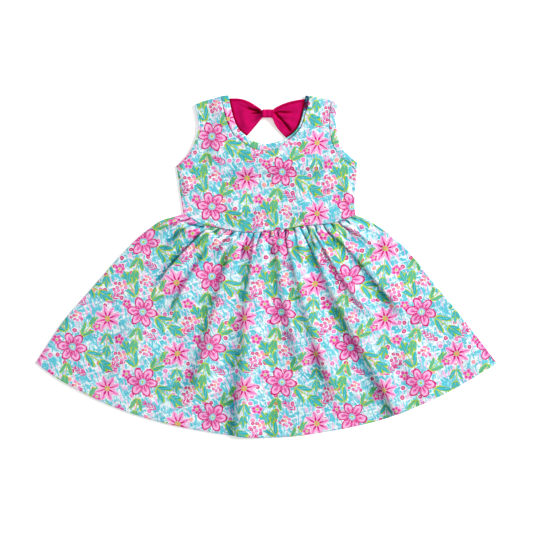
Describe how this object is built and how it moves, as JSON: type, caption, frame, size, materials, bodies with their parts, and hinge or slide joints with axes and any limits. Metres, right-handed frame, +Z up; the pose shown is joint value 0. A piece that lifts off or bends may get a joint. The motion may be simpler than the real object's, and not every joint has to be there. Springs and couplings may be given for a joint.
{
  "type": "toddler sundress",
  "caption": "Toddler sundress in floral jersey, laid flat, with a scooped neck, a gathered flared skirt and a bow across the back opening.",
  "frame": {"origin": "on the surface the dress lies on, under the middle of its outline", "axes": "+Z up out of the front, +Y from the hem to the shoulders, +X to the right as the front is looked at"},
  "size_m": [0.7112, 0.5272, 0.0117],
  "materials": {
    "print_jersey": "Cotton jersey with a flower print in aqua, pink and lime",
    "band_jersey": "The same printed jersey, cut as narrow bands and stitched down",
    "bow_jersey": "Plain hot pink jersey with soft creases"
  },
  "bodies": {
    "root": {"front_bodice": "print_jersey", "back_bodice": "print_jersey", "front_skirt": "print_jersey", "back_skirt": "print_jersey", "neck_band": "band_jersey", "back_neck_band": "band_jersey", "armhole_band_left": "band_jersey", "armhole_band_right": "band_jersey", "bow": "bow_jersey", "bow_knot": "bow_jersey"}
  },
  "joints": []
}
